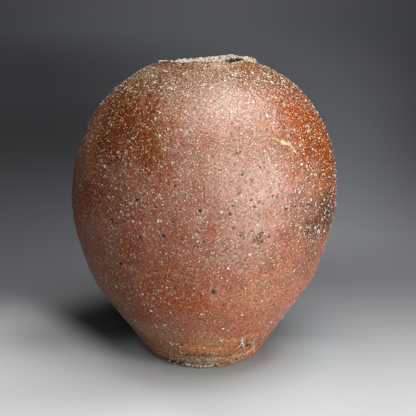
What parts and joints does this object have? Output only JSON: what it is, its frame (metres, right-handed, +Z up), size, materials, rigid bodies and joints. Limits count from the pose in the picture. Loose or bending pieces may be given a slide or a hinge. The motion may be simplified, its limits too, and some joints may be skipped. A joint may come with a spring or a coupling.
{
  "type": "storage jar",
  "caption": "Round-shouldered stoneware storage jar, built of clay rings on a flat slab, with its neck broken off low; a free-standing vessel for dry goods, water or display.",
  "frame": {"origin": "centre of the flat underside, on the surface that the jar stands on", "axes": "+Z up through the mouth; +X to the right and +Y away, seen from the front as pictured"},
  "size_m": [0.3321, 0.332, 0.3782],
  "materials": {
    "base_clay": "rough, dry",
    "wall_clay": "unglazed, natural sheen from the firing",
    "neck_clay": "rough fracture",
    "feldspar": "melted, glassy",
    "ash": "thin natural ash glaze"
  },
  "bodies": {
    "root": {"base_slab": "base_clay", "neck_stump": "neck_clay", "lower_wall_ring_1": "wall_clay", "lower_wall_ring_2": "wall_clay", "lower_wall_ring_3": "wall_clay", "belly_ring_1": "wall_clay", "belly_ring_2": "wall_clay", "belly_ring_3": "wall_clay", "shoulder_ring_1": "wall_clay", "shoulder_ring_2": "wall_clay", "shoulder_ring_3": "wall_clay", "shoulder_ring_4": "wall_clay", "shoulder_ring_5": "wall_clay", "shoulder_ring_6": "wall_clay"}
  },
  "joints": []
}
